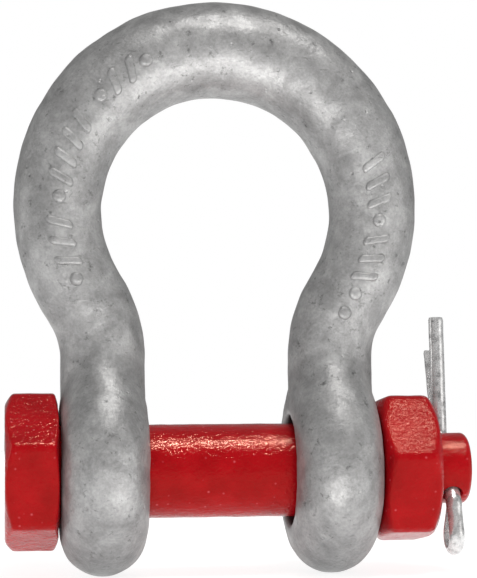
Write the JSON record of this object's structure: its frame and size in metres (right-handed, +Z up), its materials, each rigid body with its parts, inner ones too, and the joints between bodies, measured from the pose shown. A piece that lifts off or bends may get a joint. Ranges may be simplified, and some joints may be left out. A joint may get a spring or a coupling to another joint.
{
  "type": "bow shackle",
  "caption": "Forged bow shackle closed by a hexagon-headed bolt with a nut and a split cotter pin; joins a lug on the bolt to a ring, sling or hook in the bow.",
  "frame": {"origin": "on the bolt axis, midway between the two ears", "axes": "+X along the bolt towards the nut and the cotter pin, +Z up to the crown of the bow, -Y the face seen in front"},
  "size_m": [0.1031, 0.0456, 0.1273],
  "materials": {
    "galvanised_bow": "satin hot-dip galvanised",
    "painted_bolt": "gloss",
    "painted_nut": "gloss",
    "bright_wire": "bright zinc plated"
  },
  "bodies": {
    "bow": {"bow": "galvanised_bow"},
    "bolt": {"bolt": "painted_bolt"},
    "nut": {"nut": "painted_nut"},
    "cotter_pin": {"cotter_pin": "bright_wire"}
  },
  "joints": [
    {"name": "bolt_turn", "type": "hinge", "parent": "bow", "child": "bolt", "pos_m": [0, 0, 0], "axis": [1, 0, 0], "continuous": true},
    {"name": "nut_turn", "type": "hinge", "parent": "bolt", "child": "nut", "pos_m": [0.0418, 0, 0], "axis": [1, 0, 0], "range_deg": [-55, 270]},
    {"name": "cotter_slide", "type": "slide", "parent": "bolt", "child": "cotter_pin", "axis": [0, -0.7071, -0.7071], "range_m": [-0.0005, 0.0005]}
  ]
}
